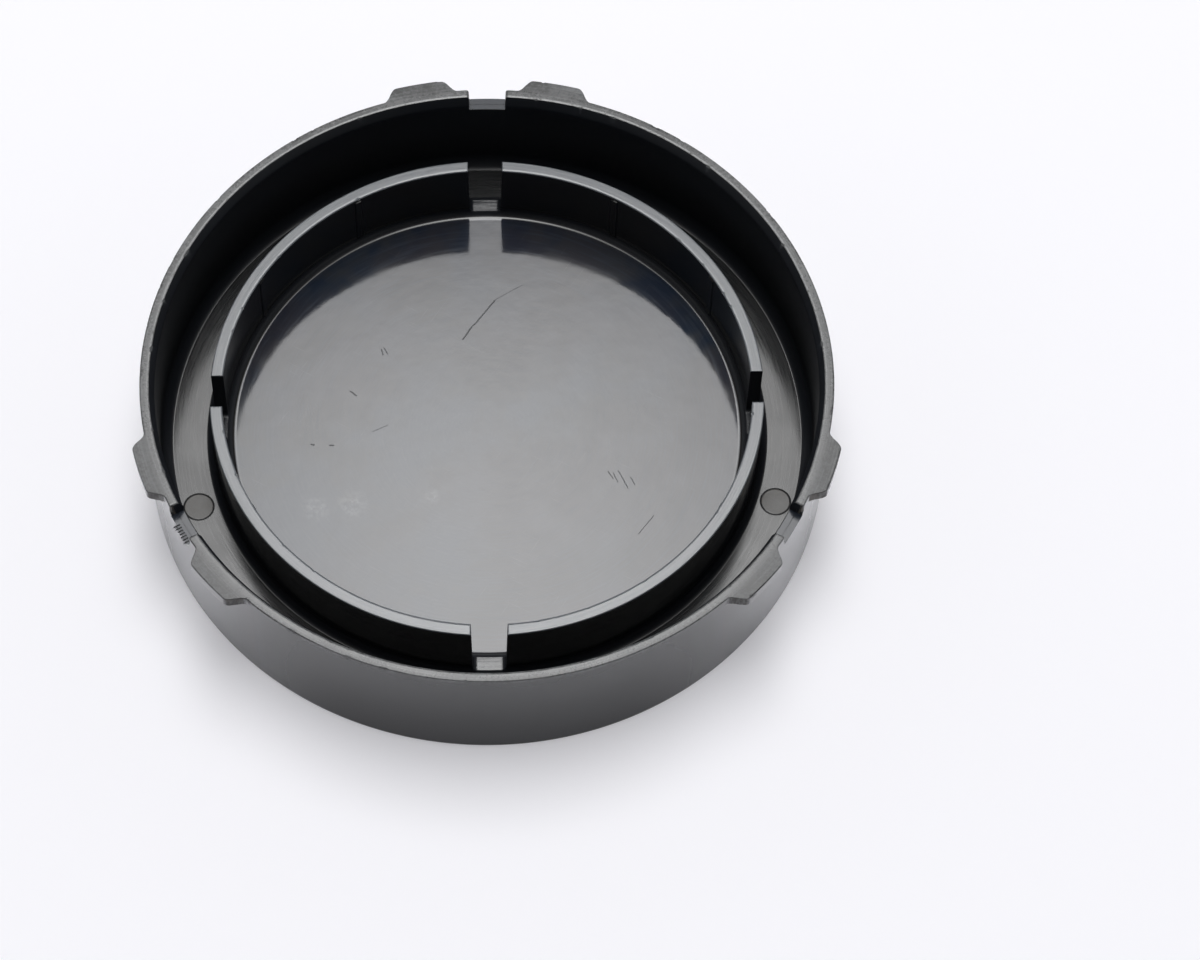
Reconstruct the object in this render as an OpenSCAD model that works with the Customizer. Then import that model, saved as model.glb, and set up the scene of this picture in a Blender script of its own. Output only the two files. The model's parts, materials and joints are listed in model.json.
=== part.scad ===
/* [Outer wall] */
// Outside diameter of the outer wall
wall_od = 80; // [76:0.5:86]
// Height from the base to the top of the rim
cap_h = 16.4; // [14:0.1:20]
// Thickness of the outer wall
wall_t = 1.63; // [1.3:0.01:2.2]
// Width of the sloping lead-in on the rim's inner edge
lead_in_w = 0.53; // [0.1:0.01:0.8]
// Height of that lead-in
lead_in_h = 1.2; // [0.4:0.1:1.8]
// Radius of the edge round the base
base_edge_r = 0.4; // [0.1:0.05:0.8]

/* [Floor] */
// Height of the floor's upper face above the base
floor_z = 3.45; // [2:0.05:5]
// Radius of the fillet between the floor and the outer wall
wall_fillet_r = 1; // [0.3:0.05:1.4]

/* [Inner ring] */
// Diameter of the bore that goes over the lens's rear barrel
bore_d = 61.6; // [58:0.1:63]
// Thickness of the ring
ring_t = 1.43; // [1:0.01:2]
// Height of the ring's top above the floor
ring_h = 8.95; // [7:0.05:10]
// Break on the ring's two top edges
ring_edge = 0.15; // [0.05:0.05:0.3]
// Radius of the fillet inside the ring's foot
ring_fillet_in_r = 1.05; // [0.3:0.05:1.4]
// Radius of the fillet outside the ring's foot
ring_fillet_out_r = 0.75; // [0.3:0.05:1.4]

/* [Ring slots] */
// Number of slots through the ring
slot_n = 4; // [2:1:6]
// Width of a slot
slot_w = 4.1; // [2:0.1:8]
// Height of the sill that stays in a slot above the floor
sill_h = 0.55; // [0.2:0.05:1.5]
// Radius of a slot's two bottom corners
slot_corner_r = 0.55; // [0.2:0.05:0.9]

/* [Bayonet lugs] */
// Number of rim notches, with a lug on each side of every notch
notch_n = 3; // [2:1:4]
// How far a lug stands out from the wall
lug_out = 1.65; // [0.8:0.05:2.5]
// Thickness of a lug, its top level with the rim
lug_t = 1.5; // [0.8:0.05:2.5]
// Plain rim between a notch's edge and the foot of the nearest flank
lug_gap = 1.5; // [0.6:0.1:3]
// Length of a lug's full-width arc
lug_len = 5.3; // [3:0.1:9]
// Run of the steep flank, next to the notch
flank_near = 1.7; // [0.8:0.1:3]
// Run of the sloping flank, at the other end
flank_far = 1.9; // [0.8:0.1:3]

/* [Rim notches] */
// Width of a notch
notch_w = 4.45; // [2:0.05:8]
// Depth of a notch below the rim
notch_h = 1.93; // [1:0.01:4]

/* [Hidden] */
$fn = 96;

wall_r = wall_od / 2;
wall_in_r = wall_r - wall_t;
rim_in_r = wall_in_r + lead_in_w;
bore_r = bore_d / 2;
ring_r = bore_r + ring_t;
ring_z = floor_z + ring_h;
sill_z = floor_z + sill_h;
lug_r = wall_r + lug_out;

// First notch and first slot both sit on the +Y side
first_angle = 90;
// Facets along a quarter-round in the turned profile
arc_steps = 6;
// Facets along a lug's flank, and along its full-width arc
flank_steps = 8;
arc_len_steps = 6;
// How deep a lug's root is buried in the wall
root_bite = 0.7;
// Overshoot of a cutting tool past the face it leaves
over = 1;

// Points on a quarter-round, from angle a0 to a1 about a centre
function arc(cx, cy, r, a0, a1, steps = arc_steps) =
    [for (i = [0:steps])
        let (a = a0 + (a1 - a0) * i / steps)
        [cx + r * cos(a), cy + r * sin(a)]];

function polar(r, a) = [r * cos(a), r * sin(a)];

// Angle that an arc length takes up on the wall
function on_wall(len) = len / wall_r * 180 / PI;

// S-shaped rise from 0 to 1, flat at both ends
function ease(t) = (1 - cos(180 * t)) / 2;

// Half section of the turned body: floor, inner ring and outer wall
function body_profile() = concat(
    [[0, 0]],
    arc(wall_r - base_edge_r, base_edge_r, base_edge_r, -90, 0),
    [[wall_r, cap_h], [rim_in_r, cap_h], [wall_in_r, cap_h - lead_in_h]],
    arc(wall_in_r - wall_fillet_r, floor_z + wall_fillet_r,
        wall_fillet_r, 0, -90),
    arc(ring_r + ring_fillet_out_r, floor_z + ring_fillet_out_r,
        ring_fillet_out_r, 270, 180),
    [[ring_r, ring_z - ring_edge], [ring_r - ring_edge, ring_z],
     [bore_r + ring_edge, ring_z], [bore_r, ring_z - ring_edge]],
    arc(bore_r - ring_fillet_in_r, floor_z + ring_fillet_in_r,
        ring_fillet_in_r, 0, -90),
    [[0, floor_z]]);

// Outline of one lug, seen from above, starting at angle a0 on the wall
function lug_outline(a0) =
    let (near = on_wall(flank_near), far = on_wall(flank_far),
         full = on_wall(lug_len), a1 = a0 + near, a2 = a1 + full)
    concat(
        [polar(wall_r - root_bite, a0)],
        [for (i = [0:flank_steps])
            polar(wall_r + lug_out * ease(i / flank_steps),
                  a0 + near * i / flank_steps)],
        [for (i = [1:arc_len_steps - 1])
            polar(lug_r, a1 + full * i / arc_len_steps)],
        [for (i = [0:flank_steps])
            polar(lug_r - lug_out * ease(i / flank_steps),
                  a2 + far * i / flank_steps)],
        [polar(wall_r - root_bite, a2 + far)]);

// Cross-section of a slot: straight sides and two rounded bottom corners
function slot_outline() =
    let (flat = slot_w / 2 - slot_corner_r,
         corner_z = sill_z + slot_corner_r)
    concat(
        arc(flat, corner_z, slot_corner_r, -90, 0),
        [[slot_w / 2, ring_z + over], [-slot_w / 2, ring_z + over]],
        arc(-flat, corner_z, slot_corner_r, 180, 270));

module turned_body() {
    rotate_extrude() polygon(body_profile());
}

// One lug beside the notch that is centred on the X axis
module lug() {
    translate([0, 0, cap_h - lug_t])
        linear_extrude(lug_t)
            polygon(lug_outline(on_wall(notch_w / 2 + lug_gap)));
}

module lug_pair() {
    lug();
    mirror([0, 1, 0]) lug();
}

// Cutter for one slot through the ring and both fillets at its foot
module ring_slot() {
    depth = ring_t + ring_fillet_in_r + ring_fillet_out_r;
    translate([bore_r - ring_fillet_in_r, 0, 0])
        rotate([90, 0, 90])
            linear_extrude(depth) polygon(slot_outline());
}

// Cutter for one notch in the rim
module rim_notch() {
    inner = wall_in_r - over;
    translate([inner, -notch_w / 2, cap_h - notch_h])
        cube([wall_t + 2 * over, notch_w, notch_h + over]);
}

module cap_body() {
    color("#26272a")
        difference() {
            union() {
                turned_body();
                for (i = [0:notch_n - 1])
                    rotate(first_angle + i * 360 / notch_n) lug_pair();
            }
            for (i = [0:notch_n - 1])
                rotate(first_angle + i * 360 / notch_n) rim_notch();
            for (i = [0:slot_n - 1])
                rotate(first_angle + i * 360 / slot_n) ring_slot();
        }
}

cap_body();
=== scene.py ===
"""The looks of a moulded rear lens cap: worn black plastic, a pale table, soft studio light and the camera."""

import json
import math
import random

import bmesh
import bpy
import numpy as np
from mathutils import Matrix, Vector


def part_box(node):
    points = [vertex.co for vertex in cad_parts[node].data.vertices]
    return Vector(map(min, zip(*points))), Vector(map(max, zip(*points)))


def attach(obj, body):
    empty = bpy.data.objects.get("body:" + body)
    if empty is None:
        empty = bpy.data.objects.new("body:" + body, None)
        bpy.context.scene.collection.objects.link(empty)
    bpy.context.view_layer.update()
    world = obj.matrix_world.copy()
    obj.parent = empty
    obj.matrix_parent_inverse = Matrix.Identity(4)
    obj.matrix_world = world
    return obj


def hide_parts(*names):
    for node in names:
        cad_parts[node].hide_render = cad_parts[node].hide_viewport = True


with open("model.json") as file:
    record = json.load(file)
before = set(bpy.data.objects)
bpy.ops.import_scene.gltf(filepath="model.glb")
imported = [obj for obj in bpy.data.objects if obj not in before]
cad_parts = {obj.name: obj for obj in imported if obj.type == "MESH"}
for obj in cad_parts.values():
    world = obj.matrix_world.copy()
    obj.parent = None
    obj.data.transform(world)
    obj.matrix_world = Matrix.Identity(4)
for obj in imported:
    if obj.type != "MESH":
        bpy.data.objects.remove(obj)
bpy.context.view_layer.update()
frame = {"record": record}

MM = 0.001

# Sizes that come from the frame, in millimetres
CAP_LOW, CAP_HIGH = (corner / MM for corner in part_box("cap_body"))
BORE = next(m for m in frame["record"]["mounts"] if m["name"] == "barrel_bore")
WALL_R = -CAP_LOW.y
CAP_H = CAP_HIGH.z
BORE_R = BORE["dims"]["r_mm"]
BORE_TOP = BORE["pos_m"][2] / MM + BORE["dims"]["length_mm"] / 2
BORE_FOOT = BORE["pos_m"][2] / MM - BORE["dims"]["length_mm"] / 2

# Outer wall and its rim
WALL_IN_R = WALL_R - 1.63
LEAD_IN_H = 1.2
RIM_IN_R = WALL_IN_R + 0.53
BASE_EDGE = 0.4
WALL_FILLET = 2.0
FILLET_START = 25
RIM_EDGE = 0.12
RIM_BEVEL = 0.2
RIM_BEVEL_DROP = 0.028

# Inner ring
RING_R = BORE_R + 1.43
RING_Z = BORE_TOP + 0.15
RING_EDGE = 0.12
RING_BEVEL = 0.17
RING_BEVEL_DROP = 0.02
RING_FILLET_IN = 1.05
RING_FILLET_OUT = 1.25
RING_FILLET_START = 18
FLOOR_Z = BORE_FOOT - RING_FILLET_IN

# Slots through the ring, turned a little from the notches as on the real one
SLOT_ANGLES = (90.26, 180.26, 270.26, 0.26)
SLOT_W = 4.12
SLOT_DRAFT = 0.13
SLOT_CORNER = 0.56
SILL_Z = FLOOR_Z + 0.55

# Faint ribs on the ring's inner face, two in each quarter
RIB_ANGLES = [quarter + turn for quarter in (45, 135, 225, 315) for turn in (-15, 15)]
RIB_W = 1.05
RIB_RAMP = 0.14
RIB_OUT = 0.13
RIB_TOP = RING_Z - 0.5

# Notches in the rim, with a lug on each side of every one
NOTCH_ANGLES = (89.77, 209.77, 329.77)
NOTCH_W = 4.45
NOTCH_DRAFT = 0.05
NOTCH_H = 1.93
NOTCH_EDGE = 0.26
NOSE_R = 0.42
LUG_OUT = 1.65
LUG_T = 1.5
LUG_GAP = 1.5
LUG_FLANK_NEAR = 1.7
LUG_FULL = 5.3
LUG_FLANK_FAR = 1.9
LUG_ROUGHNESS = 0.05

# The burred outer edge of the left notch's floor
BURRED_NOTCH = 1
BURR_FROM, BURR_TO, BURR_STEP = -0.9, 2.15, 0.2

# Ejector marks on the floor outside the ring
EJECTOR_PLACES = {"ejector_mark_left": (-33.75, -10.55), "ejector_mark_right": (33.7, -10.2)}
EJECTOR_R = 1.86

# Camera, from circles measured in the photograph
CAMERA_PLACE = (0.51, -207.84, 352.65)
CAMERA_DOWN = 60.108
CAMERA_TURN = -0.3
LENS_MM = 102.88
SENSOR_MM = 36
CAMERA_SHIFT = 0.0827

# Table, lamp and room
TABLE_HALF = 1.5
TABLE_WHITE = (0.955, 0.948, 0.985, 1)
TABLE_LIFT = 0.32
MIRRORED_LIFT = 0.1
LAMP_AWAY = 0.83
LAMP_HEIGHT = 78
LAMP_SIZE = (0.9, 1.098)
LAMP_POWER = 22.6
LAMP_FADE_ACROSS = 24.7
LAMP_FADE_ALONG = 6700.0
WALL_GLOW = 1.15
CEILING_GLOW = 0.05
FRONT_SHARE = 0.05


# Mesh helpers

def arc(cx, cy, r, a0, a1, steps):
    """Points on part of a circle, angles in degrees."""
    turns = [math.radians(a0 + (a1 - a0) * i / steps) for i in range(steps + 1)]
    return [(cx + r * math.cos(t), cy + r * math.sin(t)) for t in turns]


def ease(t):
    """S-shaped rise from 0 to 1, flat at both ends."""
    return (1 - np.cos(np.pi * np.clip(t, 0, 1))) / 2


def side_angle(y, r):
    """Angle at which a plane y away from the centre plane meets radius r."""
    return np.degrees(np.arcsin(np.clip(y / r, -1, 1)))


def nearest_turn(angles, centres):
    """Signed angle from each column to the nearest of evenly spaced centres."""
    pitch = 360 / len(centres)
    return (angles - centres[0] + pitch / 2) % pitch - pitch / 2


# Chips along the worn edges: each is its angle, half its width in degrees, and its depth

def draw_chips(seed, count, widths, depths, radius, gaps, clear):
    """Chips drawn at random, but clear of the slots or notches whose centres are given as gaps."""
    rng = random.Random(seed)
    chips = []
    for _ in range(count):
        half = math.degrees(rng.uniform(*widths) / 2 / radius)
        spot, deep = rng.uniform(0, 360), rng.uniform(*depths)
        if abs(nearest_turn(spot, gaps)) > clear:
            chips.append((spot, half, deep))
    return chips


CHIPS = {
    "ring_in": draw_chips(11, 26, (0.25, 0.6), (0.04, 0.09), BORE_R, SLOT_ANGLES, 5),
    "rim_in": draw_chips(13, 20, (0.3, 0.9), (0.03, 0.08), RIM_IN_R, NOTCH_ANGLES, 5),
    "rim_out": draw_chips(14, 26, (0.3, 1.1), (0.04, 0.12), WALL_R, NOTCH_ANGLES, 5),
}
EDGES = ["none"] + sorted(CHIPS)


def chip_depth(angles, chips):
    """How deep the chips of one edge go at each column, in millimetres."""
    depth = np.zeros(len(angles))
    for centre, half, deep in chips:
        away = np.abs((angles - centre + 180) % 360 - 180)
        depth = np.maximum(depth, deep * np.clip(1 - (away / half) ** 2, 0, 1))
    return depth


# The cap's turned section, as stations of radius, height, share of the lug's reach, and worn edge

def ring_stations(add):
    top = RING_Z - RING_EDGE
    bevel_z = top - RING_BEVEL_DROP
    add([(BORE_R - RING_FILLET_IN - 0.08, FLOOR_Z)])
    add(arc(BORE_R - RING_FILLET_IN, BORE_FOOT, RING_FILLET_IN, -90, 0, 8))
    add([(BORE_R, BORE_FOOT + 0.12), (BORE_R, 7), (BORE_R, 10), (BORE_R, RIB_TOP - 0.12)])
    add([(BORE_R, RIB_TOP - 0.03), (BORE_R, RIB_TOP + 0.02), (BORE_R, bevel_z - 0.05)])
    add(arc(BORE_R + RING_EDGE, bevel_z, RING_EDGE, 180, 97, 4), edge="ring_in")
    add([(BORE_R + RING_EDGE + RING_BEVEL, RING_Z)])
    add([(BORE_R + RING_EDGE + RING_BEVEL + 0.04, RING_Z), (RING_R - RING_EDGE - 0.05, RING_Z)])
    add(arc(RING_R - RING_EDGE, top, RING_EDGE, 90, 0, 4))
    foot = FLOOR_Z + RING_FILLET_OUT * math.cos(math.radians(RING_FILLET_START))
    add([(RING_R, top - 0.08), (RING_R, 8), (RING_R, foot + 0.1)])
    add(arc(RING_R + RING_FILLET_OUT, foot, RING_FILLET_OUT, 180, 270 - RING_FILLET_START, 6))
    reach = RING_FILLET_OUT * (1 - math.sin(math.radians(RING_FILLET_START)))
    add([(RING_R + reach + 0.1, FLOOR_Z), (35, FLOOR_Z)])


def wall_stations(add):
    lead = CAP_H - LEAD_IN_H
    bevel = CAP_H - RIM_BEVEL_DROP
    start = math.radians(FILLET_START)
    centre_z = FLOOR_Z + WALL_FILLET * math.cos(start)
    add([(WALL_IN_R - WALL_FILLET * (1 - math.sin(start)) - 0.1, FLOOR_Z)])
    add(arc(WALL_IN_R - WALL_FILLET, centre_z, WALL_FILLET, FILLET_START - 90, 0, 6))
    add([(WALL_IN_R, centre_z + 0.1), (WALL_IN_R, 10), (WALL_IN_R, lead - 0.2)])
    add([(WALL_IN_R + 0.01, lead), (WALL_IN_R + 0.09, lead + 0.2), (RIM_IN_R - 0.06, CAP_H - 0.18)])
    add([(RIM_IN_R - 0.015, bevel - 0.07), (RIM_IN_R + 0.015, bevel - 0.015), (RIM_IN_R + 0.05, bevel)], edge="rim_in")
    add([(RIM_IN_R + 0.05 + RIM_BEVEL, CAP_H), (RIM_IN_R + 0.1 + RIM_BEVEL, CAP_H)])
    add([(WALL_R - RIM_EDGE - 0.3, CAP_H), (WALL_R - RIM_EDGE - 0.06, CAP_H)], lug=1)
    add(arc(WALL_R - RIM_EDGE, CAP_H - RIM_EDGE, RIM_EDGE, 90, 0, 4), lug=1, edge="rim_out")


def outside_stations(add):
    under = CAP_H - LUG_T
    add([(WALL_R, CAP_H - RIM_EDGE - 0.08), (WALL_R, CAP_H - 0.75), (WALL_R, under + RIM_EDGE + 0.08)], lug=1)
    add(arc(WALL_R - RIM_EDGE, under + RIM_EDGE, RIM_EDGE, 0, -90, 3), lug=1)
    add([(WALL_R, under - 0.02), (WALL_R, under - 0.12), (WALL_R, CAP_H - NOTCH_H - 0.2)])
    add([(WALL_R, CAP_H - NOTCH_H - 0.35), (WALL_R, 8), (WALL_R, BASE_EDGE + 0.1)])
    add(arc(WALL_R - BASE_EDGE, BASE_EDGE, BASE_EDGE, 0, -90, 5))
    add([(WALL_R - BASE_EDGE - 0.1, 0), (30, 0), (2, 0)])


def section():
    rows = []

    def add(points, lug=0, edge="none"):
        rows.extend((r, z, lug, EDGES.index(edge)) for r, z in points)

    add([(2, FLOOR_Z), (12, FLOOR_Z), (22, FLOOR_Z), (28, FLOOR_Z)])
    ring_stations(add)
    wall_stations(add)
    outside_stations(add)
    return np.array(rows, float)


def slot_walls():
    """Height of what stays in a slot, by distance from its centre plane."""
    flat = SLOT_W / 2 - SLOT_DRAFT - SLOT_CORNER
    low = arc(flat, SILL_Z + SLOT_CORNER, SLOT_CORNER, -90, 0, 6)
    high = arc(SLOT_W / 2 + RING_EDGE, RING_Z - RING_EDGE, RING_EDGE, 180, 90, 4)
    return [(0, SILL_Z), (flat - 0.08, SILL_Z)] + low + high + [(SLOT_W / 2 + RING_EDGE + 0.08, RING_Z)]


def notch_walls():
    """Height of what stays in a notch, by distance from its centre plane."""
    floor = CAP_H - NOTCH_H
    edge = NOTCH_W / 2
    high = arc(edge + NOTCH_EDGE, CAP_H - NOTCH_EDGE, NOTCH_EDGE, 180, 90, 5)
    sides = [(edge - NOTCH_DRAFT - 0.08, floor), (edge - NOTCH_DRAFT, floor)]
    return [(0, floor)] + sides + high + [(edge + NOTCH_EDGE + 0.15, CAP_H)]


SLOT_REF = (BORE_R + RING_R) / 2
NOTCH_REF = (WALL_IN_R + WALL_R) / 2
WARP_NEAR, WARP_FAR = 4.8, 8.5


def lug_share(turn):
    """How far the rim stands out, 0 to 1, by the angle from the nearest notch."""
    along = np.abs(np.radians(turn)) * WALL_R - NOTCH_W / 2 - LUG_GAP
    rise = ease(along / LUG_FLANK_NEAR)
    fall = ease((along - LUG_FLANK_NEAR - LUG_FULL) / LUG_FLANK_FAR)
    return rise - fall


def flank_distances():
    """Distances from a notch's edge at which its lug's two flanks have a column."""
    near = [LUG_GAP + LUG_FLANK_NEAR * i / 10 for i in range(11)]
    far = [LUG_GAP + LUG_FLANK_NEAR + LUG_FULL + LUG_FLANK_FAR * i / 11 for i in range(12)]
    return near + far


def column_angles():
    """Angles of the mesh's columns: even ones, and more at every slot, rib, notch, flank and chip."""
    angles = [float(i) for i in range(360)]
    for centre in SLOT_ANGLES:
        turns = [float(side_angle(y, SLOT_REF)) for y, _ in slot_walls()]
        angles += [centre + t for t in turns] + [centre - t for t in turns]
    for centre in RIB_ANGLES:
        turns = [math.degrees(y / BORE_R) for y in (RIB_W / 2 - RIB_RAMP, RIB_W / 2)]
        angles += [centre + t for t in turns] + [centre - t for t in turns]
    for centre in NOTCH_ANGLES:
        turns = [float(side_angle(y, NOTCH_REF)) for y, _ in notch_walls()]
        turns += [math.degrees((NOTCH_W / 2 + d) / WALL_R) for d in flank_distances()]
        angles += [centre + t for t in turns] + [centre - t for t in turns]
    burr = np.arange(BURR_FROM, BURR_TO, BURR_STEP / 2)
    angles += [NOTCH_ANGLES[BURRED_NOTCH] + math.degrees(y / WALL_R) for y in burr]
    for chips in CHIPS.values():
        for centre, half, _ in chips:
            angles += [centre + half * share for share in (-1, -0.5, 0, 0.5, 1)]
    turned = np.sort(np.array(angles) % 360)
    keep = np.concatenate(([True], np.diff(turned) > 0.012))
    return turned[keep]


def parallel_shift(angle, r, centres, ref, inner, outer, fade):
    """Turn added to a column at radius r, so that a slot's or notch's two sides run parallel."""
    turn = nearest_turn(angle, centres)
    parallel = side_angle(ref * np.sin(np.radians(turn)), np.clip(r, inner, outer))
    near = np.clip((WARP_FAR - np.abs(turn)) / (WARP_FAR - WARP_NEAR), 0, 1)
    zone = np.clip(1 - np.maximum(inner - r, r - outer) / fade, 0, 1)
    return near * zone * (parallel - turn)


def cut(z, angles, centres, ref, walls, where):
    """Heights with a slot or notch cut down to its walls, in the stations given by where."""
    across = ref * np.abs(np.sin(np.radians(nearest_turn(angles, centres))))
    ys, heights = zip(*walls)
    limit = np.where(across < ys[-1], np.interp(across, ys, heights), CAP_H)
    return np.where(where, np.minimum(z, limit[:, None]), z)


def stand_ribs_in(r, z, angles):
    """The bore wall's stations moved in a little at each rib."""
    across = np.abs(np.radians(nearest_turn(angles, RIB_ANGLES[::2])) * BORE_R)
    other = np.abs(np.radians(nearest_turn(angles, RIB_ANGLES[1::2])) * BORE_R)
    rise = np.clip((RIB_W / 2 - np.minimum(across, other)) / RIB_RAMP, 0, 1)
    on_rib = (np.abs(r - BORE_R) < 1e-6) & (z < RIB_TOP)
    return np.where(on_rib, r - RIB_OUT * rise[:, None], r)


def stand_lugs_out(r, rows, angles):
    """The rim's outer stations moved out along the lugs, with slightly rough flanks and rounded rim ends."""
    turn = np.abs(nearest_turn(angles, NOTCH_ANGLES))
    share = lug_share(turn)
    rng = np.random.default_rng(5)
    rough = rng.uniform(-1, 1, (len(angles), len(rows))) * 0.4 + rng.uniform(-1, 1, (len(angles), 1)) * 0.6
    flank = 4 * share * (1 - share)
    moves = rows[:, 2] > 0
    out = share[:, None] * LUG_OUT + rough * flank[:, None] * LUG_ROUGHNESS
    past = np.clip(np.radians(turn) * WALL_R - NOTCH_W / 2, 0, NOSE_R)
    nose = NOSE_R - np.sqrt(NOSE_R ** 2 - (NOSE_R - past) ** 2)
    r = np.where(moves, r + out - nose[:, None] * (turn < 6)[:, None], r)
    below = moves & (rows[:, 1] < CAP_H - LUG_T + RIM_EDGE + 0.01)
    return np.where(below, np.maximum(r, WALL_R), r)


def burr_notch(r, z, angles):
    """Teeth along the outer edge of the left notch's floor."""
    rng = random.Random(8)
    spots = np.arange(BURR_FROM, BURR_TO, BURR_STEP)
    depths = [rng.uniform(0.25, 0.5) if i % 2 else rng.uniform(-0.08, 0.03) for i in range(len(spots))]
    turn = (angles - NOTCH_ANGLES[BURRED_NOTCH] + 180) % 360 - 180
    tooth = np.interp(np.radians(turn) * WALL_R, spots, depths, 0, 0)
    edge = (r > WALL_R - 0.15) & (z > CAP_H - NOTCH_H - 0.25)
    return np.where(edge, r + tooth[:, None], r)


def chip_edges(r, z, rows, angles):
    """Small chips knocked out of the ring's and the rim's edges."""
    for edge, chips in CHIPS.items():
        here = (rows[:, 3] == EDGES.index(edge))[None, :]
        depth = chip_depth(angles, chips)[:, None] * here
        r = r + depth * (0.9 if edge.endswith("in") else -0.9)
        z = z - depth * 0.6
    return r, z


def cap_points():
    """Every corner of the cap's mesh as [column, station, xyz], in millimetres."""
    rows = section()
    angles = column_angles()
    r = np.repeat(rows[None, :, 0], len(angles), 0)
    z = np.repeat(rows[None, :, 1], len(angles), 0)
    r = stand_ribs_in(r, z, angles)
    in_ring = (r > BORE_R - RING_FILLET_IN) & (r < RING_R + RING_FILLET_OUT) & (z > FLOOR_Z)
    r, z = chip_edges(r, z, rows, angles)
    r = stand_lugs_out(r, rows, angles)
    z = cut(z, angles, SLOT_ANGLES, SLOT_REF, slot_walls(), in_ring)
    z = cut(z, angles, NOTCH_ANGLES, NOTCH_REF, notch_walls(), rows[None, :, 0] > WALL_IN_R - 0.01)
    r = burr_notch(r, z, angles)
    a = angles[:, None]
    a = a + parallel_shift(a, r, SLOT_ANGLES, SLOT_REF, BORE_R - RING_FILLET_IN, RING_R + RING_FILLET_OUT, 3)
    a = a + parallel_shift(a, r, NOTCH_ANGLES, NOTCH_REF, WALL_IN_R, WALL_R, 1)
    turn = np.radians(a)
    return np.stack([r * np.cos(turn), r * np.sin(turn), z], -1)


FLOOR, INNER_WALL, OUTER_WALL, RING_TOP, RIM, RIM_INNER_EDGE = range(6)
LUG_END, SILL, SHELF, BORE_WALL, SEAM, NOTCH_FLOOR, TORN_EDGE = range(6, 13)


def rim_finish_of(spot, r, normal):
    """Which finish a face near the rim has."""
    along = abs(normal.x * spot.x + normal.y * spot.y) / r
    if spot.z > CAP_H - RIM_BEVEL_DROP - 0.02 and RIM_IN_R + 0.02 < r < RIM_IN_R + 0.06 + RIM_BEVEL:
        return RIM_INNER_EDGE
    if normal.z > 0.9 and abs(spot.z - CAP_H + NOTCH_H) < 0.05:
        return NOTCH_FLOOR if WALL_IN_R + 0.1 < r < WALL_R - 0.13 else SEAM
    if r > WALL_R + 0.02 and spot.z < CAP_H - NOTCH_H + 0.01:
        return TORN_EDGE
    if normal.z > 0.5 and spot.z > CAP_H - NOTCH_H - 0.1:
        return RIM
    if spot.z > CAP_H - LUG_T - 0.02 and r > WALL_R - 0.5 and abs(normal.z) < 0.8 and along < 0.85:
        return LUG_END
    return OUTER_WALL if r > WALL_R - 0.3 else INNER_WALL


def finish_of(face):
    """Which of the cap's finishes a face has."""
    spot = face.calc_center_median() / MM
    r = math.hypot(spot.x, spot.y)
    if r > RIM_IN_R - 0.05 or spot.z > CAP_H - NOTCH_H - 0.1:
        return rim_finish_of(spot, r, face.normal)
    if spot.z > RING_Z - 0.2 and BORE_R - 0.2 < r < RING_R + 0.1:
        return RING_TOP
    if spot.z < 0.2:
        return OUTER_WALL
    if face.normal.z > 0.9 and abs(spot.z - SILL_Z) < 0.03:
        return SILL
    if face.normal.z > 0.99:
        return FLOOR if r < BORE_R else SHELF
    slot_side = abs(face.normal.x * spot.y - face.normal.y * spot.x) / r > 0.5
    fillet_side = spot.z < FLOOR_Z + 1.1 and face.normal.z < 0.93
    return INNER_WALL if r > 36 or slot_side or fillet_side else BORE_WALL


def finish_mesh(bm, name, finishes, sharp):
    """A piece from a mesh in the making, with its finishes and smooth shading."""
    bmesh.ops.recalc_face_normals(bm, faces=bm.faces)
    mesh = bpy.data.meshes.new(name)
    for face in bm.faces:
        face.smooth = True
    bm.to_mesh(mesh)
    bm.free()
    for finish in finishes:
        mesh.materials.append(finish)
    mesh.set_sharp_from_angle(angle=math.radians(sharp))
    piece = bpy.data.objects.new(name, mesh)
    bpy.context.collection.objects.link(piece)
    return piece


def build_cap(finishes):
    """The cap as one closed mesh, column by column round its axis."""
    points = cap_points()
    columns, rows = points.shape[:2]
    bm = bmesh.new()
    corners = [[bm.verts.new(p * MM) for p in column] for column in points]
    top = bm.verts.new((0, 0, FLOOR_Z * MM))
    base = bm.verts.new((0, 0, 0))
    for i in range(columns):
        here, there = corners[i], corners[(i + 1) % columns]
        bm.faces.new((top, here[0], there[0]))
        bm.faces.new((base, there[-1], here[-1]))
        for k in range(rows - 1):
            bm.faces.new((here[k], here[k + 1], there[k + 1], there[k]))
    bmesh.ops.remove_doubles(bm, verts=bm.verts, dist=2e-7)
    bmesh.ops.recalc_face_normals(bm, faces=bm.faces)
    for face in bm.faces:
        face.material_index = finish_of(face)
    return finish_mesh(bm, "cap_moulding", finishes, 38)


def build_ejector_mark(name, place, finishes):
    """The slightly raised round face that an ejector pin leaves, with a dark seam round it."""
    slope = [(EJECTOR_R - 0.3, 0.03), (EJECTOR_R - 0.2, 0.03), (EJECTOR_R - 0.16, 0.01)]
    slope += [(EJECTOR_R - 0.01, 0.01), (EJECTOR_R, -0.3)]
    bm = bmesh.new()
    rings = []
    for r, lift in slope:
        turns = [2 * math.pi * i / 96 for i in range(96)]
        spots = [(place[0] + r * math.cos(t), place[1] + r * math.sin(t), FLOOR_Z + lift) for t in turns]
        rings.append([bm.verts.new([v * MM for v in spot]) for spot in spots])
    bm.faces.new(rings[0])
    bm.faces.new(rings[-1][::-1])
    for k in range(len(rings) - 1):
        for i in range(96):
            j = (i + 1) % 96
            face = bm.faces.new((rings[k][i], rings[k + 1][i], rings[k + 1][j], rings[k][j]))
            face.material_index = 0 if k == 0 else 1
    return finish_mesh(bm, name, finishes, 30)


# Shader helpers

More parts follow.
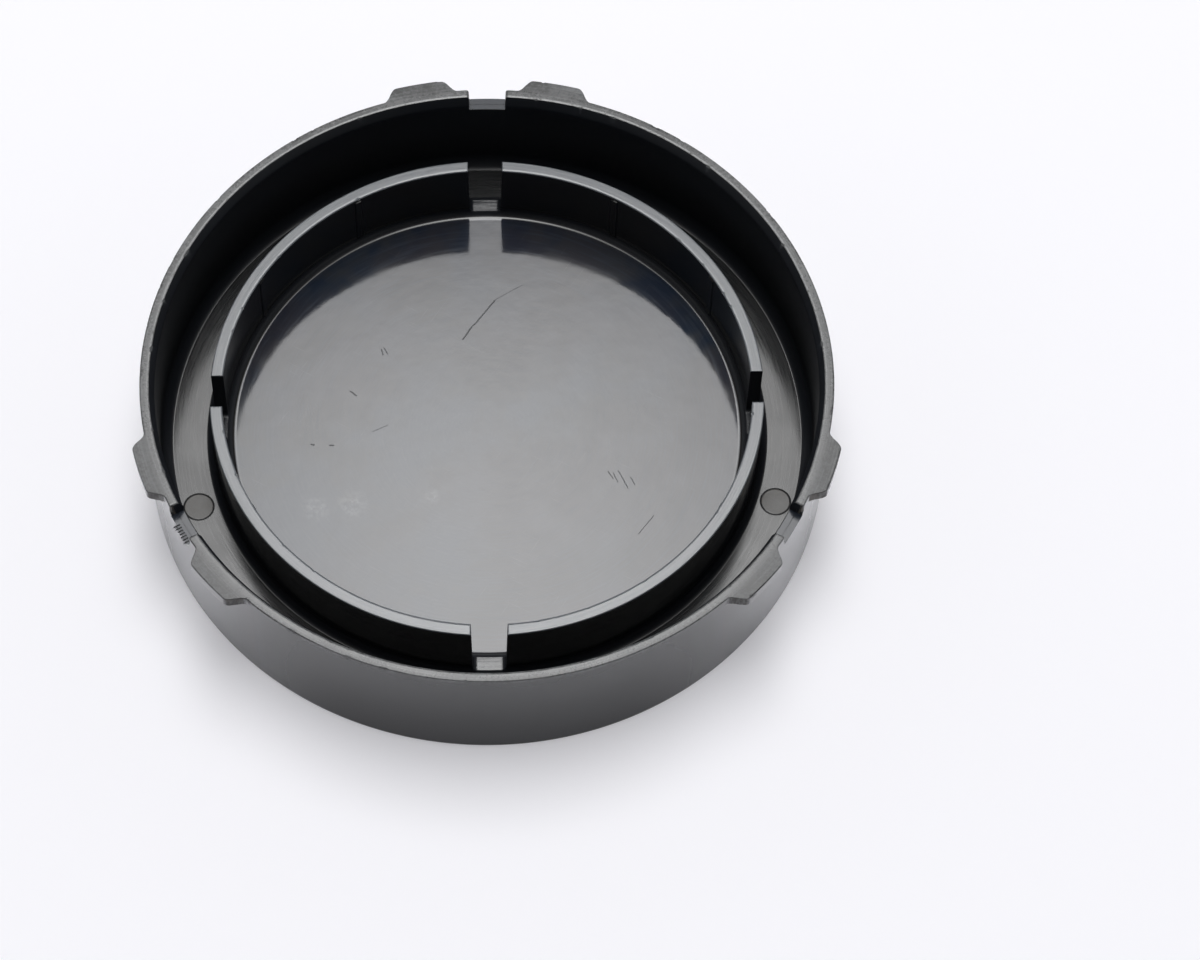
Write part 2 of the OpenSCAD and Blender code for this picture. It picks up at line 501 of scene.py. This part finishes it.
def node(tree, kind, inputs=None, **settings):
    """A node with its settings and inputs, where an input is a value or another node's output."""
    made = tree.nodes.new(kind)
    for name, value in settings.items():
        setattr(made, name, value)
    for name, value in (inputs or {}).items():
        if isinstance(value, bpy.types.NodeSocket):
            tree.links.new(value, made.inputs[name])
        else:
            made.inputs[name].default_value = value
    return made


def maths(tree, operation, a, b=0.0, c=0.0):
    return node(tree, "ShaderNodeMath", {0: a, 1: b, 2: c}, operation=operation).outputs[0]


def vectors(tree, operation, a, b=(0, 0, 0), out="Vector"):
    return node(tree, "ShaderNodeVectorMath", {0: a, 1: b}, operation=operation).outputs[out]


def ramp(tree, value, low, high, to_low=0.0, to_high=1.0):
    """A smooth change from to_low to to_high while the value goes from low to high."""
    inputs = {"Value": value, "From Min": low, "From Max": high, "To Min": to_low, "To Max": to_high}
    return node(tree, "ShaderNodeMapRange", inputs, interpolation_type="SMOOTHSTEP").outputs["Result"]


def noise(tree, place, scale, detail=2.0, roughness=0.5):
    inputs = {"Vector": place, "Scale": scale, "Detail": detail, "Roughness": roughness}
    return node(tree, "ShaderNodeTexNoise", inputs).outputs["Fac"]


def blend(tree, share, a, b):
    """A colour between a and b."""
    return node(tree, "ShaderNodeMix", {0: share, 6: a, 7: b}, data_type="RGBA").outputs[2]


def new_group(name, inputs, outputs):
    """An empty node group: its tree, the values it is given, and the node that takes its results."""
    tree = bpy.data.node_groups.new(name, "ShaderNodeTree")
    for label, kind in inputs:
        tree.interface.new_socket(name=label, in_out="INPUT", socket_type=kind)
    for label in outputs:
        tree.interface.new_socket(name=label, in_out="OUTPUT", socket_type=FLOAT)
    return tree, tree.nodes.new("NodeGroupInput").outputs, tree.nodes.new("NodeGroupOutput")


def effect(tree, group, **inputs):
    """A node group placed in a material with its own values."""
    made = node(tree, "ShaderNodeGroup", node_tree=group)
    for name, value in inputs.items():
        socket = made.inputs[name.replace("_", " ")]
        if isinstance(value, bpy.types.NodeSocket):
            tree.links.new(value, socket)
        else:
            socket.default_value = value
    return made.outputs


FLOAT, VECTOR = "NodeSocketFloat", "NodeSocketVector"


# Effects that several finishes share

def moulded_grain():
    """Cloudy patches and the fine grain of a moulded face."""
    tree, given, leave = new_group("moulded_grain", [("Place", VECTOR), ("Grain", FLOAT)], ["Cloud", "Height"])
    tree.links.new(noise(tree, given["Place"], 130.0, 3.0, 0.6), leave.inputs["Cloud"])
    tree.links.new(noise(tree, given["Place"], given["Grain"], 2.0, 0.6), leave.inputs["Height"])
    return tree


def polish_lines():
    """Fine lines that run round the cap's axis, left by the mould's polishing."""
    tree, given, leave = new_group("polish_lines", [("Place", VECTOR), ("Spacing", FLOAT)], ["Mask"])
    axes = node(tree, "ShaderNodeSeparateXYZ", {"Vector": given["Place"]}).outputs
    flat = node(tree, "ShaderNodeCombineXYZ", {"X": axes["X"], "Y": axes["Y"]}).outputs[0]
    out = maths(tree, "DIVIDE", vectors(tree, "LENGTH", flat, out="Value"), given["Spacing"])
    way = vectors(tree, "SCALE", vectors(tree, "NORMALIZE", flat))
    way.node.inputs["Scale"].default_value = 5.0
    turned = node(tree, "ShaderNodeSeparateXYZ", {"Vector": way}).outputs
    drawn = node(tree, "ShaderNodeCombineXYZ", {"X": turned["X"], "Y": turned["Y"], "Z": out}).outputs[0]
    tree.links.new(noise(tree, drawn, 1.0, 2.0, 0.6), leave.inputs["Mask"])
    return tree


def rubbed_lines():
    """Thin straight lines rubbed one way across the plastic, in patches."""
    tree, given, leave = new_group("rubbed_lines", [("Place", VECTOR), ("Turn", FLOAT)], ["Mask"])
    turned = node(tree, "ShaderNodeVectorRotate", {"Vector": given["Place"], "Angle": given["Turn"]},
                  rotation_type="Z_AXIS").outputs[0]
    drawn = vectors(tree, "MULTIPLY", turned, (220, 7000, 220))
    thin = ramp(tree, noise(tree, drawn, 1.0, 1.5), 0.66, 0.76)
    here = ramp(tree, noise(tree, given["Place"], 160.0), 0.46, 0.66)
    tree.links.new(maths(tree, "MULTIPLY", thin, here), leave.inputs["Mask"])
    return tree


def scuffs():
    """Mottled rubbed patches, as on a rim that has often lain face down."""
    tree, given, leave = new_group("scuffs", [("Place", VECTOR), ("Size", FLOAT)], ["Mask", "Height"])
    broad = noise(tree, given["Place"], maths(tree, "MULTIPLY", given["Size"], 0.35), 4.0, 0.65)
    fine = noise(tree, given["Place"], maths(tree, "MULTIPLY", given["Size"], 3.0), 3.0, 0.7)
    mottle = maths(tree, "MULTIPLY_ADD", broad, 0.55, maths(tree, "MULTIPLY", fine, 0.45))
    tree.links.new(ramp(tree, mottle, 0.4, 0.62), leave.inputs["Mask"])
    tree.links.new(mottle, leave.inputs["Height"])
    return tree


def scratch():
    """One scratch, as a thin line between two points."""
    sockets = [("Place", VECTOR), ("Start", VECTOR), ("End", VECTOR), ("Width", FLOAT)]
    tree, given, leave = new_group("scratch", sockets, ["Mask"])
    away = vectors(tree, "SUBTRACT", given["Place"], given["Start"])
    line = vectors(tree, "SUBTRACT", given["End"], given["Start"])
    share = maths(tree, "DIVIDE", vectors(tree, "DOT_PRODUCT", away, line, out="Value"),
                  vectors(tree, "DOT_PRODUCT", line, line, out="Value"))
    share = node(tree, "ShaderNodeClamp", {"Value": share}).outputs[0]
    foot = node(tree, "ShaderNodeVectorMath", {0: line, "Scale": share}, operation="SCALE").outputs[0]
    gap = vectors(tree, "DISTANCE", away, foot, out="Value")
    near = maths(tree, "MULTIPLY", given["Width"], 0.3)
    tree.links.new(ramp(tree, gap, given["Width"], near), leave.inputs["Mask"])
    return tree


# The plastic's finishes

BLACK = (0.006, 0.0065, 0.008, 1)
WALL_WARM = (0.012, 0.0115, 0.010, 1)
DEEP_BLUE = (0.007, 0.0085, 0.012, 1)
HAZE_COOL = (0.013, 0.020, 0.034, 1)
HAZE_WARM = (0.026, 0.028, 0.033, 1)
HAZE_ROSE = (0.025, 0.023, 0.029, 1)
LINE_BLUE = (0.032, 0.039, 0.052, 1)
SHELF_HAZE = (0.013, 0.0135, 0.0145, 1)
SHELF_GREY = (0.030, 0.030, 0.0295, 1)
MARK_BROWN = (0.012, 0.011, 0.009, 1)
RING_HAZE = (0.098, 0.106, 0.117, 1)
SCUFFED = (0.052, 0.053, 0.054, 1)
RUB_GREY = (0.22, 0.225, 0.23, 1)
# Painted sheen for the outer wall, seen at a low angle
PAINTED_GRAZING_SHEEN = (0.40, 0.40, 0.405, 1)
TORN_WHITE = (0.62, 0.62, 0.63, 1)
END_BROWN = (0.055, 0.048, 0.038, 1)

# Scratches on the floor inside the ring: two ends in millimetres from the axis, and a width
SCRATCHES = [
    ((-2.9, 12.5), (-2.0, 14.0), 0.15), ((-2.0, 14.0), (-1.1, 15.1), 0.12),
    ((-1.1, 15.1), (0.1, 16.8), 0.14), ((0.1, 16.8), (0.9, 18.0), 0.15),
    ((0.9, 18.0), (4.3, 20.2), 0.035), ((14.2, -6.0), (14.8, -7.0), 0.06),
    ((14.8, -6.2), (15.3, -7.4), 0.06), ((15.4, -5.9), (16.5, -8.3), 0.06),
    ((16.8, -6.8), (17.3, -7.8), 0.06), ((19.4, -12.0), (17.6, -14.4), 0.05),
    ((-16.3, 5.2), (-15.6, 4.6), 0.1), ((-12.7, 11.1), (-12.5, 10.3), 0.07),
    ((-12.4, 11.3), (-11.9, 10.4), 0.06), ((-13.5, -0.4), (-11.8, 0.5), 0.05),
    ((-20.8, -2.1), (-20.5, -2.2), 0.13), ((-18.6, -2.2), (-18.2, -2.3), 0.12),
]
# Pale rubbed spots on the same floor, with their reach
RUBBED_SPOTS = [((-20.1, -10.8), 2.2), ((-15.8, -10.4), 2.6), ((-6.5, -9.3), 1.3)]


def plastic(name, dark, rough, ior=1.5):
    """A black plastic: its material, node tree, shader and place on the cap."""
    material = bpy.data.materials.new(name)
    material.use_nodes = True
    tree = material.node_tree
    tree.nodes.clear()
    shader = node(tree, "ShaderNodeBsdfPrincipled", {"Base Color": dark, "Roughness": rough, "IOR": ior})
    out = node(tree, "ShaderNodeOutputMaterial")
    tree.links.new(shader.outputs["BSDF"], out.inputs["Surface"])
    place = node(tree, "ShaderNodeTexCoord").outputs["Object"]
    return material, tree, shader, place


def set_bump(tree, shader, height, strength, distance, under=None):
    inputs = {"Height": height, "Strength": strength, "Distance": distance}
    if under is not None:
        inputs["Normal"] = under
    bump = node(tree, "ShaderNodeBump", inputs).outputs["Normal"]
    tree.links.new(bump, shader.inputs["Normal"])
    return bump


def all_scratches(tree, effects, place):
    """Every scratch on the floor in one mask, drawn with a slight waver."""
    waver = node(tree, "ShaderNodeTexNoise", {"Vector": place, "Scale": 1300.0, "Detail": 2.0}).outputs["Color"]
    waver = vectors(tree, "MULTIPLY", vectors(tree, "SUBTRACT", waver, (0.5, 0.5, 0.5)), (0.0002, 0.0002, 0))
    drawn = vectors(tree, "ADD", place, waver)
    mask = None
    for start, end, width in SCRATCHES:
        ends = [tuple(v * MM for v in spot) + (FLOOR_Z * MM,) for spot in (start, end)]
        one = effect(tree, effects["scratch"], Place=drawn, Start=ends[0], End=ends[1], Width=width * MM)["Mask"]
        mask = one if mask is None else maths(tree, "MAXIMUM", mask, one)
    return mask


def all_rubbed_spots(tree, place):
    mask = None
    for spot, reach in RUBBED_SPOTS:
        centre = (spot[0] * MM, spot[1] * MM, FLOOR_Z * MM)
        gap = vectors(tree, "DISTANCE", place, centre, out="Value")
        one = ramp(tree, gap, reach * MM, 0)
        mask = one if mask is None else maths(tree, "MAXIMUM", mask, one)
    return maths(tree, "MULTIPLY", mask, ramp(tree, noise(tree, place, 900.0, 3.0, 0.7), 0.35, 0.7))


def floor_finish(effects):
    material, tree, shader, place = plastic("floor_plastic", HAZE_COOL, 0.08)
    grain = effect(tree, effects["grain"], Place=place, Grain=5200.0)
    lines = effect(tree, effects["polish"], Place=place, Spacing=0.00035)["Mask"]
    one_way = effect(tree, effects["rubbed"], Place=place, Turn=0.5)["Mask"]
    other_way = effect(tree, effects["rubbed"], Place=place, Turn=-1.0)["Mask"]
    rubbed = maths(tree, "MULTIPLY", maths(tree, "MAXIMUM", one_way, other_way), 0.09)
    rubbed = maths(tree, "MULTIPLY_ADD", all_rubbed_spots(tree, place), 0.42, rubbed)
    scratches = all_scratches(tree, effects, place)
    haze = blend(tree, ramp(tree, grain["Cloud"], 0.38, 0.62), HAZE_COOL, HAZE_WARM)
    haze = blend(tree, ramp(tree, noise(tree, place, 55.0, 2.0), 0.4, 0.62, 0, 0.6), haze, HAZE_ROSE)
    haze = blend(tree, ramp(tree, lines, 0.42, 0.75, 0, 0.55), haze, LINE_BLUE)
    shade = blend(tree, rubbed, haze, RUB_GREY)
    tree.links.new(blend(tree, maths(tree, "MULTIPLY", scratches, 0.75), shade, BLACK), shader.inputs["Base Color"])
    rough = ramp(tree, grain["Cloud"], 0.3, 0.7, 0.05, 0.11)
    rough = maths(tree, "MULTIPLY_ADD", ramp(tree, lines, 0.3, 0.7), 0.04, rough)
    rough = maths(tree, "MULTIPLY_ADD", scratches, 0.24, rough)
    tree.links.new(rough, shader.inputs["Roughness"])
    wave = set_bump(tree, shader, noise(tree, place, 110.0, 1.0), 0.5, 0.00002)
    ripple = set_bump(tree, shader, noise(tree, place, 420.0, 2.0), 0.4, 0.00002, wave)
    fine = set_bump(tree, shader, grain["Height"], 0.05, 0.00002, ripple)
    set_bump(tree, shader, maths(tree, "SUBTRACT", 1.0, scratches), 0.25, 0.00003, fine)
    return material


def shelf_finish(effects):
    """The floor outside the ring, duller than inside and brushed round the axis."""
    material, tree, shader, place = plastic("shelf_plastic", SHELF_HAZE, 0.18)
    grain = effect(tree, effects["grain"], Place=place, Grain=5200.0)
    lines = effect(tree, effects["polish"], Place=place, Spacing=0.0002)["Mask"]
    haze = blend(tree, ramp(tree, lines, 0.35, 0.7, 0, 0.4), SHELF_HAZE, SHELF_GREY)
    tree.links.new(haze, shader.inputs["Base Color"])
    rough = ramp(tree, grain["Cloud"], 0.3, 0.7, 0.13, 0.2)
    tree.links.new(maths(tree, "MULTIPLY_ADD", ramp(tree, lines, 0.3, 0.7), 0.06, rough), shader.inputs["Roughness"])
    lined = set_bump(tree, shader, lines, 0.06, 0.00002)
    set_bump(tree, shader, grain["Height"], 0.06, 0.00002, lined)
    return material


def mark_face_finish(effects):
    """The face of an ejector mark, browner and duller than the floor round it."""
    material, tree, shader, place = plastic("mark_face_plastic", MARK_BROWN, 0.33)
    worn = effect(tree, effects["scuffs"], Place=place, Size=1000.0)
    streaks = effect(tree, effects["rubbed"], Place=place, Turn=0.7)["Mask"]
    shade = blend(tree, maths(tree, "MULTIPLY", worn["Mask"], 0.5), MARK_BROWN, END_BROWN)
    tree.links.new(blend(tree, maths(tree, "MULTIPLY", streaks, 0.1), shade, RUB_GREY), shader.inputs["Base Color"])
    tree.links.new(ramp(tree, worn["Height"], 0.35, 0.65, 0.28, 0.38), shader.inputs["Roughness"])
    set_bump(tree, shader, worn["Height"], 0.12, 0.00003)
    return material


def notch_floor_finish(effects):
    """The smooth, slightly bluish floors of the rim's notches."""
    material, tree, shader, place = plastic("notch_floor_plastic", HAZE_COOL, 0.2)
    grain = effect(tree, effects["grain"], Place=place, Grain=4200.0)
    tree.links.new(blend(tree, grain["Cloud"], DEEP_BLUE, HAZE_COOL), shader.inputs["Base Color"])
    tree.links.new(ramp(tree, grain["Cloud"], 0.3, 0.7, 0.2, 0.28), shader.inputs["Roughness"])
    set_bump(tree, shader, grain["Height"], 0.06, 0.00002)
    return material


def bore_wall_finish(effects):
    """The glossy black faces of the inner ring."""
    material, tree, shader, place = plastic("bore_wall_plastic", BLACK, 0.13)
    grain = effect(tree, effects["grain"], Place=place, Grain=3500.0)
    tree.links.new(blend(tree, grain["Cloud"], BLACK, WALL_WARM), shader.inputs["Base Color"])
    tree.links.new(ramp(tree, grain["Cloud"], 0.2, 0.8, 0.11, 0.15), shader.inputs["Roughness"])
    set_bump(tree, shader, grain["Height"], 0.05, 0.00002)
    return material


def inner_wall_finish(effects):
    """The duller black inside of the outer wall."""
    material, tree, shader, place = plastic("inner_wall_plastic", BLACK, 0.4, ior=1.35)
    grain = effect(tree, effects["grain"], Place=place, Grain=3500.0)
    tree.links.new(blend(tree, grain["Cloud"], BLACK, DEEP_BLUE), shader.inputs["Base Color"])
    tree.links.new(ramp(tree, grain["Cloud"], 0.2, 0.8, 0.38, 0.44), shader.inputs["Roughness"])
    set_bump(tree, shader, grain["Height"], 0.05, 0.00002)
    return material


def outer_wall_finish(effects):
    """Glossy below and rougher towards the rim, with painted shade that keeps it black low down and greyer towards the
    rim, wear at the rim's edge, and a painted sheen that shows at a low angle.
    """
    material, tree, shader, place = plastic("outer_wall_plastic", BLACK, 0.12)
    grain = effect(tree, effects["grain"], Place=place, Grain=2600.0)
    worn = effect(tree, effects["scuffs"], Place=place, Size=500.0)
    height = node(tree, "ShaderNodeSeparateXYZ", {"Vector": place}).outputs["Z"]
    # Painted shade: greyer towards the rim and black low down, standing in for the darker reflection of the table's
    # shadow near the base; the scuffed band at the rim's edge is wear.
    painted_fade_and_wear = ramp(tree, height, 4 * MM, (CAP_H + 3) * MM, 0, 0.22)
    painted_fade_and_wear = maths(tree, "MULTIPLY", painted_fade_and_wear, ramp(tree, grain["Cloud"], 0.2, 0.8, 0.8, 1.15))
    edge = ramp(tree, height, (CAP_H - 0.9) * MM, CAP_H * MM, 0, 0.3)
    painted_fade_and_wear = maths(tree, "MULTIPLY_ADD", edge, worn["Mask"], painted_fade_and_wear)
    shade = blend(tree, painted_fade_and_wear, BLACK, RUB_GREY)
    # Painted sheen: the colour pales where the wall is seen at a low angle, standing in for its bright reflection near
    # the sides.
    facing = node(tree, "ShaderNodeLayerWeight", {"Blend": 0.5}).outputs["Facing"]
    shade = blend(tree, ramp(tree, facing, 0.6, 0.86), shade, PAINTED_GRAZING_SHEEN)
    tree.links.new(shade, shader.inputs["Base Color"])
    rough = ramp(tree, grain["Cloud"], 0.3, 0.7, 0.1, 0.15)
    tree.links.new(maths(tree, "MULTIPLY_ADD", painted_fade_and_wear, 0.2, rough), shader.inputs["Roughness"])
    set_bump(tree, shader, grain["Height"], 0.05, 0.00003)
    return material


def ring_top_finish(effects):
    material, tree, shader, place = plastic("ring_top_plastic", HAZE_COOL, 0.2)
    lines = effect(tree, effects["polish"], Place=place, Spacing=0.00013)["Mask"]
    worn = effect(tree, effects["scuffs"], Place=place, Size=700.0)
    streak = ramp(tree, lines, 0.35, 0.7)
    share = maths(tree, "MULTIPLY_ADD", worn["Mask"], 0.06, maths(tree, "MULTIPLY", streak, 0.12))
    tree.links.new(blend(tree, share, RING_HAZE, RUB_GREY), shader.inputs["Base Color"])
    tree.links.new(ramp(tree, lines, 0.3, 0.7, 0.17, 0.09), shader.inputs["Roughness"])
    lined = set_bump(tree, shader, lines, 0.25, 0.00003)
    set_bump(tree, shader, worn["Height"], 0.1, 0.00003, lined)
    return material


def rim_finish(effects):
    """The rim's top, rubbed and faintly lined, and darker out on the lugs."""
    material, tree, shader, place = plastic("rim_plastic", SCUFFED, 0.35)
    worn = effect(tree, effects["scuffs"], Place=place, Size=650.0)
    lines = effect(tree, effects["polish"], Place=place, Spacing=0.00022)["Mask"]
    flat = vectors(tree, "MULTIPLY", place, (1, 1, 0))
    lug = ramp(tree, vectors(tree, "LENGTH", flat, out="Value"), (WALL_R - 0.9) * MM, (WALL_R + 0.5) * MM)
    strong = maths(tree, "MULTIPLY_ADD", lug, 0.12, 0.24)
    share = maths(tree, "MULTIPLY_ADD", worn["Mask"], strong, ramp(tree, lines, 0.45, 0.75, 0, 0.24))
    ground = blend(tree, lug, SCUFFED, SHELF_HAZE)
    tree.links.new(blend(tree, share, ground, RUB_GREY), shader.inputs["Base Color"])
    rough = ramp(tree, worn["Height"], 0.35, 0.65, 0.16, 0.32)
    tree.links.new(maths(tree, "MULTIPLY_ADD", lug, 0.12, rough), shader.inputs["Roughness"])
    lined = set_bump(tree, shader, lines, 0.2, 0.00003)
    set_bump(tree, shader, worn["Height"], 0.3, 0.00006, lined)
    return material


def rim_inner_edge_finish(effects):
    """The bright bevel on the rim's inner edge, with brown flecks of dirt."""
    material, tree, shader, place = plastic("rim_edge_plastic", SCUFFED, 0.15)
    worn = effect(tree, effects["scuffs"], Place=place, Size=1500.0)
    flecks = ramp(tree, noise(tree, place, 1900.0, 3.0, 0.7), 0.56, 0.66, 0, 0.85)
    shade = blend(tree, maths(tree, "MULTIPLY", worn["Mask"], 0.4), SCUFFED, RUB_GREY)
    tree.links.new(blend(tree, flecks, shade, MARK_BROWN), shader.inputs["Base Color"])
    rough = ramp(tree, worn["Height"], 0.35, 0.65, 0.1, 0.25)
    tree.links.new(maths(tree, "MULTIPLY_ADD", flecks, 0.3, rough), shader.inputs["Roughness"])
    set_bump(tree, shader, worn["Height"], 0.15, 0.00004)
    return material


def lug_end_finish(effects):
    """Rough, streaked ends of the lugs and of the rim beside the notches."""
    material, tree, shader, place = plastic("lug_end_plastic", END_BROWN, 0.45)
    worn = effect(tree, effects["scuffs"], Place=place, Size=1400.0)
    streaks = noise(tree, vectors(tree, "MULTIPLY", place, (2600, 2600, 500)), 1.0, 3.0, 0.65)
    pale = ramp(tree, streaks, 0.5, 0.7, 0, 0.35)
    shade = blend(tree, ramp(tree, worn["Height"], 0.4, 0.6), BLACK, END_BROWN)
    tree.links.new(blend(tree, pale, shade, RUB_GREY), shader.inputs["Base Color"])
    tree.links.new(ramp(tree, streaks, 0.3, 0.7, 0.55, 0.3), shader.inputs["Roughness"])
    set_bump(tree, shader, streaks, 0.5, 0.00008)
    return material


def sill_finish(effects):
    """The slots' sills, streaked by the cutter and darker towards the bore."""
    material, tree, shader, place = plastic("sill_plastic", SCUFFED, 0.3)
    lines = effect(tree, effects["polish"], Place=place, Spacing=0.0003)["Mask"]
    worn = effect(tree, effects["scuffs"], Place=place, Size=900.0)
    flat = vectors(tree, "MULTIPLY", place, (1, 1, 0))
    outer = ramp(tree, vectors(tree, "LENGTH", flat, out="Value"), (BORE_R + 0.1) * MM, (BORE_R + 0.8) * MM)
    strong = maths(tree, "MULTIPLY_ADD", worn["Mask"], 0.25, 0.15)
    share = maths(tree, "MULTIPLY", ramp(tree, lines, 0.3, 0.7), strong)
    share = maths(tree, "MULTIPLY", share, maths(tree, "MULTIPLY_ADD", outer, 0.9, 0.1))
    tree.links.new(blend(tree, share, DEEP_BLUE, RUB_GREY), shader.inputs["Base Color"])
    rough = ramp(tree, lines, 0.35, 0.65, 0.2, 0.34)
    tree.links.new(maths(tree, "MULTIPLY_ADD", outer, -0.08, rough), shader.inputs["Roughness"])
    set_bump(tree, shader, lines, 0.25, 0.00004)
    return material


def seam_finish(effects):
    """Dull dark plastic, in the seam round an ejector mark and along a notch's outer edge."""
    material, tree, shader, place = plastic("seam_plastic", BLACK, 0.6, ior=1.3)
    worn = effect(tree, effects["scuffs"], Place=place, Size=1600.0)
    tree.links.new(blend(tree, worn["Mask"], BLACK, SHELF_HAZE), shader.inputs["Base Color"])
    tree.links.new(ramp(tree, worn["Height"], 0.35, 0.65, 0.5, 0.7), shader.inputs["Roughness"])
    set_bump(tree, shader, worn["Height"], 0.2, 0.00003)
    return material


def torn_edge_finish(effects):
    """Pale torn plastic on the burr of the left notch."""
    material, tree, shader, place = plastic("torn_edge_plastic", RUB_GREY, 0.5)
    worn = effect(tree, effects["scuffs"], Place=place, Size=1800.0)
    tree.links.new(blend(tree, worn["Mask"], RUB_GREY, TORN_WHITE), shader.inputs["Base Color"])
    tree.links.new(ramp(tree, worn["Height"], 0.35, 0.65, 0.4, 0.6), shader.inputs["Roughness"])
    set_bump(tree, shader, worn["Height"], 0.3, 0.00005)
    return material


def cap_finishes(effects):
    """The finishes in the order of their numbers."""
    made = {
        FLOOR: floor_finish(effects),
        INNER_WALL: inner_wall_finish(effects),
        OUTER_WALL: outer_wall_finish(effects),
        RING_TOP: ring_top_finish(effects),
        RIM: rim_finish(effects),
        RIM_INNER_EDGE: rim_inner_edge_finish(effects),
        LUG_END: lug_end_finish(effects),
        SILL: sill_finish(effects),
        SHELF: shelf_finish(effects),
        BORE_WALL: bore_wall_finish(effects),
        SEAM: seam_finish(effects),
        NOTCH_FLOOR: notch_floor_finish(effects),
        TORN_EDGE: torn_edge_finish(effects),
    }
    return [made[number] for number in sorted(made)]


# Table, light and camera

def table_finish():
    """Matt white paper, which the camera and reflections see a little lifted."""
    material = bpy.data.materials.new("pale_table")
    material.use_nodes = True
    tree = material.node_tree
    tree.nodes.clear()
    paper = node(tree, "ShaderNodeBsdfDiffuse", {"Color": TABLE_WHITE})
    glow = node(tree, "ShaderNodeEmission", {"Color": TABLE_WHITE, "Strength": 1.0})
    ray = node(tree, "ShaderNodeLightPath").outputs
    mirrored = maths(tree, "MAXIMUM", ray["Is Glossy Ray"], ray["Is Transmission Ray"])
    mirrored = maths(tree, "MULTIPLY", mirrored, MIRRORED_LIFT)
    lift = maths(tree, "MULTIPLY_ADD", ray["Is Camera Ray"], TABLE_LIFT, mirrored)
    shader = node(tree, "ShaderNodeMixShader", {0: lift, 1: paper.outputs[0], 2: glow.outputs[0]})
    out = node(tree, "ShaderNodeOutputMaterial")
    tree.links.new(shader.outputs[0], out.inputs["Surface"])
    return material


def lay_table():
    mesh = bpy.data.meshes.new("table")
    corners = [(-TABLE_HALF, -TABLE_HALF, 0), (TABLE_HALF, -TABLE_HALF, 0)]
    corners += [(TABLE_HALF, TABLE_HALF, 0), (-TABLE_HALF, TABLE_HALF, 0)]
    mesh.from_pydata(corners, [], [(0, 1, 2, 3)])
    mesh.materials.append(table_finish())
    table = bpy.data.objects.new("table", mesh)
    bpy.context.collection.objects.link(table)


def hang_softbox():
    """A long soft lamp above and behind the cap, even in the middle and fading to its edge."""
    lamp = bpy.data.lights.new("overhead_softbox", "AREA")
    lamp.shape = "ELLIPSE"
    lamp.size, lamp.size_y = LAMP_SIZE
    lamp.energy = LAMP_POWER
    lamp.use_nodes = True
    tree = lamp.node_tree
    face = node(tree, "ShaderNodeNewGeometry").outputs["Parametric"]
    spot = vectors(tree, "ABSOLUTE", vectors(tree, "SUBTRACT", face, (0.5, 0.5, 0)))
    axes = node(tree, "ShaderNodeSeparateXYZ", {"Vector": spot}).outputs
    across = maths(tree, "MULTIPLY", maths(tree, "POWER", axes["X"], 2), -LAMP_FADE_ACROSS)
    along = maths(tree, "MULTIPLY", maths(tree, "POWER", axes["Y"], 8), -LAMP_FADE_ALONG)
    fall = maths(tree, "EXPONENT", maths(tree, "ADD", across, along))
    tree.links.new(fall, tree.nodes["Emission"].inputs["Strength"])
    holder = bpy.data.objects.new("overhead_softbox", lamp)
    up = math.radians(LAMP_HEIGHT)
    holder.location = (0, LAMP_AWAY * math.cos(up), LAMP_AWAY * math.sin(up))
    holder.rotation_euler = (-holder.location).to_track_quat("-Z", "Y").to_euler()
    bpy.context.collection.objects.link(holder)


def light_room():
    """A dim room with pale walls, darker on the camera's side."""
    world = bpy.data.worlds.new("studio_room")
    world.use_nodes = True
    tree = world.node_tree
    look = node(tree, "ShaderNodeTexCoord").outputs["Generated"]
    axes = node(tree, "ShaderNodeSeparateXYZ", {"Vector": look}).outputs
    walls = ramp(tree, axes["Z"], 0.75, 0.1)
    front = ramp(tree, axes["Y"], -0.6, -0.95, WALL_GLOW, WALL_GLOW * FRONT_SHARE)
    ground = tree.nodes["Background"]
    ground.inputs["Color"].default_value = (0.95, 0.97, 1.0, 1)
    tree.links.new(maths(tree, "MULTIPLY_ADD", walls, front, CEILING_GLOW), ground.inputs["Strength"])
    bpy.context.scene.world = world


def set_camera():
    data = bpy.data.cameras.new("camera")
    data.lens = LENS_MM
    data.sensor_width = SENSOR_MM
    data.shift_x = CAMERA_SHIFT
    data.clip_start = 0.01
    data.clip_end = 10
    camera = bpy.data.objects.new("camera", data)
    camera.location = [v * MM for v in CAMERA_PLACE]
    camera.rotation_euler = (math.radians(90 - CAMERA_DOWN), 0, math.radians(CAMERA_TURN))
    bpy.context.collection.objects.link(camera)
    bpy.context.scene.camera = camera


def declare(piece, *nodes):
    """Hang a piece on the root body, and hide the nodes it stands for."""
    if nodes:
        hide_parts(*nodes)
    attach(piece, "root")


def dress_cap():
    effects = {"grain": moulded_grain(), "polish": polish_lines(), "rubbed": rubbed_lines()}
    effects.update(scuffs=scuffs(), scratch=scratch())
    finishes = cap_finishes(effects)
    declare(build_cap(finishes), "cap_body")
    mark_face = mark_face_finish(effects)
    for name, place in EJECTOR_PLACES.items():
        declare(build_ejector_mark(name, place, [mark_face, finishes[SEAM]]))


bpy.context.scene.view_settings.view_transform = "Standard"
set_camera()
lay_table()
hang_softbox()
light_room()
dress_cap()
